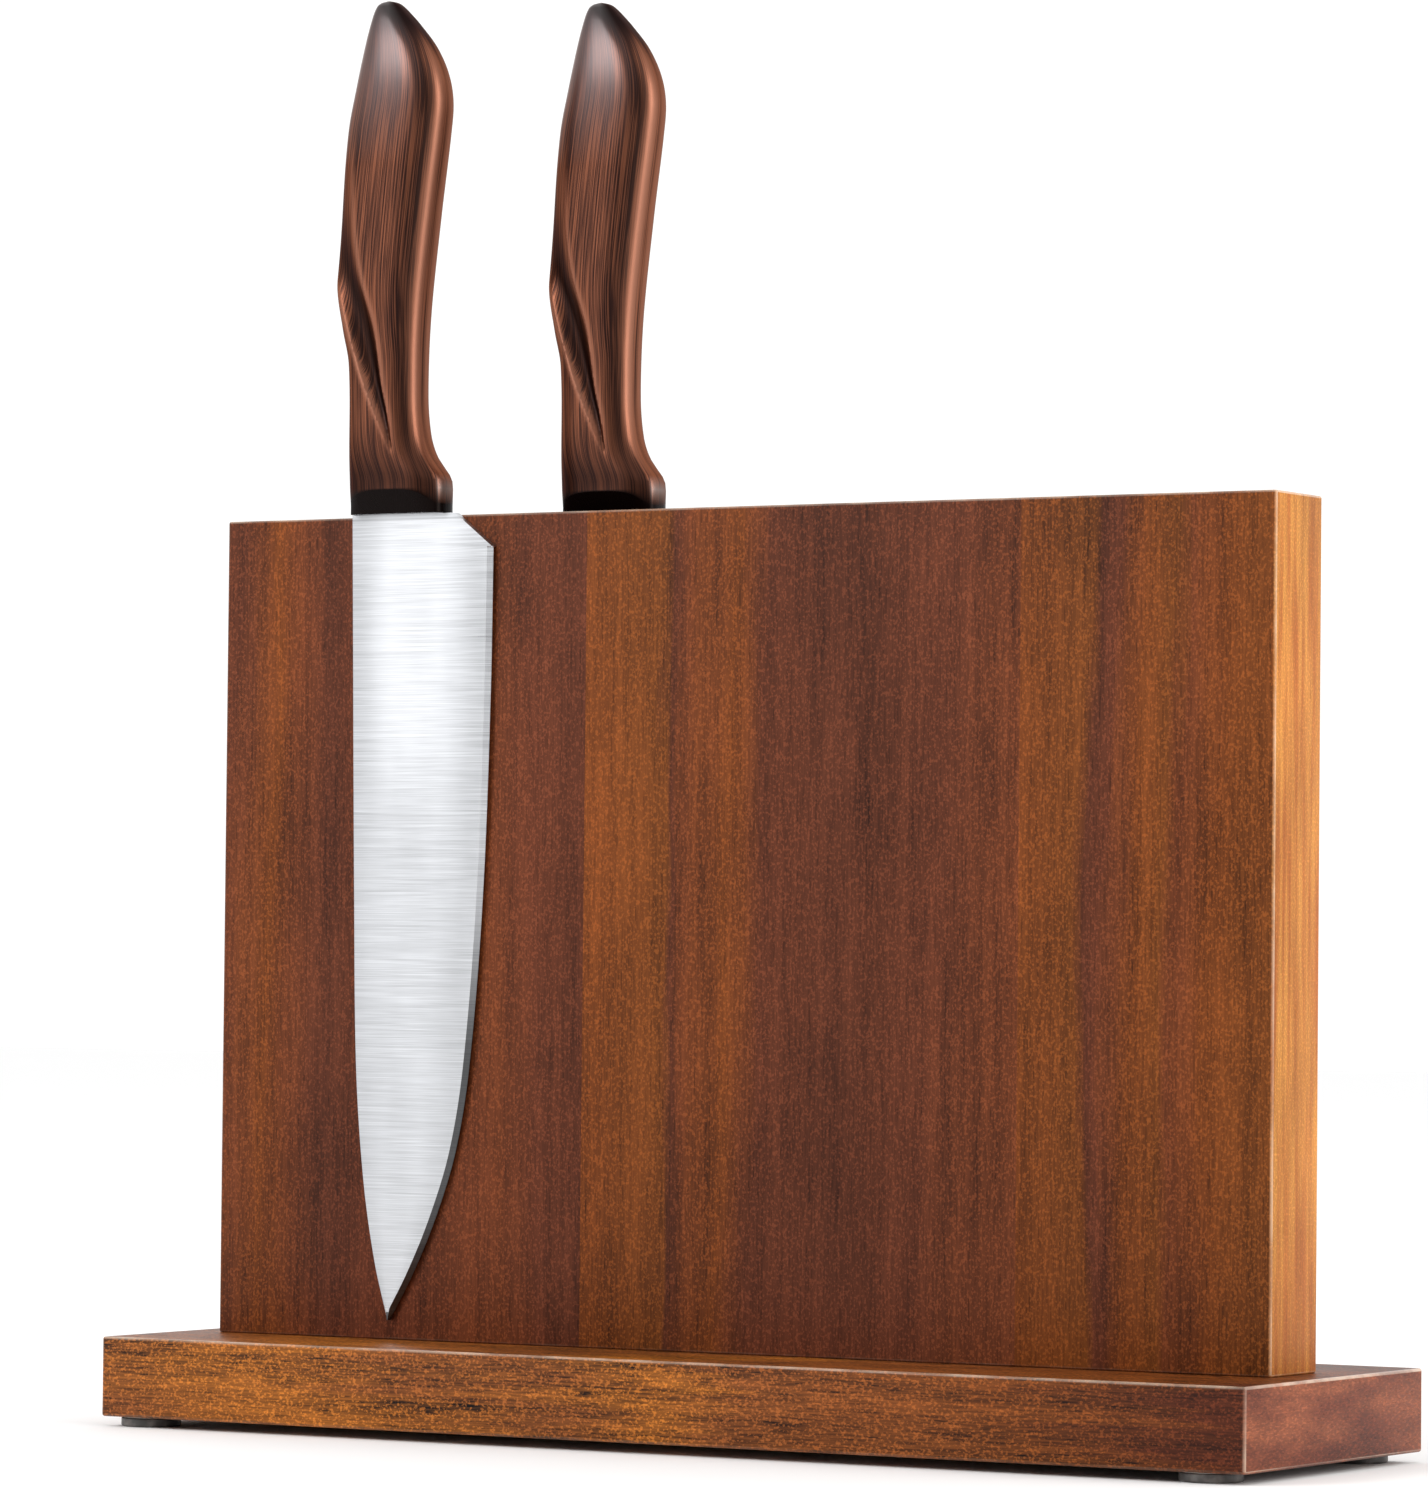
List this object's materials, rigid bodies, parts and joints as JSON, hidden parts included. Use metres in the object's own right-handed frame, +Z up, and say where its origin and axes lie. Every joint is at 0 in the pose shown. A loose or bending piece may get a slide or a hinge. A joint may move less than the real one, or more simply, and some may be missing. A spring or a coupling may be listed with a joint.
{
  "type": "knife magnetic rack",
  "caption": "Free-standing double-sided wooden magnetic knife rack on a plank base with rubber feet, with a chef's knife held on each face.",
  "frame": {"origin": "centre of the base's footprint, on the surface that the feet stand on", "axes": "+X along the board, front face towards -Y, +Z up along the knives"},
  "size_m": [0.32, 0.095, 0.3599],
  "materials": {
    "base_wood": "golden brown stained hardwood, satin lacquer",
    "stave_wood_left": "reddish brown stained hardwood, satin lacquer",
    "stave_wood_middle": "reddish brown stained hardwood, satin lacquer",
    "stave_wood_right": "reddish brown stained hardwood, satin lacquer",
    "magnet": "sintered magnet block",
    "strip_steel": "mild steel strip",
    "screw_steel": "yellow-plated steel countersunk screw",
    "dowel_wood": "plain beech",
    "foot_rubber": "dark grey semi-gloss rubber",
    "adhesive": "double-sided adhesive foam",
    "blade_steel": "satin, ground across the blade",
    "handle_copper": "antique copper, brushed lengthwise, darkened in the hollows"
  },
  "bodies": {
    "rack": {"base_plank": "base_wood", "front_stave_left": "stave_wood_left", "front_stave_middle": "stave_wood_middle", "front_stave_right": "stave_wood_right", "back_stave_left": "stave_wood_left", "back_stave_middle": "stave_wood_middle", "back_stave_right": "stave_wood_right", "front_magnets_upper": "magnet", "front_magnets_middle": "magnet", "front_magnets_lower": "magnet", "back_magnets_upper": "magnet", "back_magnets_middle": "magnet", "back_magnets_lower": "magnet", "steel_strips_upper": "strip_steel", "steel_strips_middle": "strip_steel", "steel_strips_lower": "strip_steel", "assembly_screws": "screw_steel", "dowels": "dowel_wood", "foot_front_left": "foot_rubber", "foot_front_right": "foot_rubber", "foot_back_left": "foot_rubber", "foot_back_right": "foot_rubber", "foot_adhesive_discs": "adhesive"},
    "front_knife": {"front_blade": "blade_steel", "front_handle": "handle_copper"},
    "back_knife": {"back_blade": "blade_steel", "back_handle": "handle_copper"}
  },
  "joints": [
    {"name": "front_knife_lift_off", "type": "slide", "parent": "rack", "child": "front_knife", "axis": [0, -1, 0], "range_m": [0, 0.1]},
    {"name": "back_knife_lift_off", "type": "slide", "parent": "rack", "child": "back_knife", "axis": [0, 1, 0], "range_m": [0, 0.1]}
  ]
}
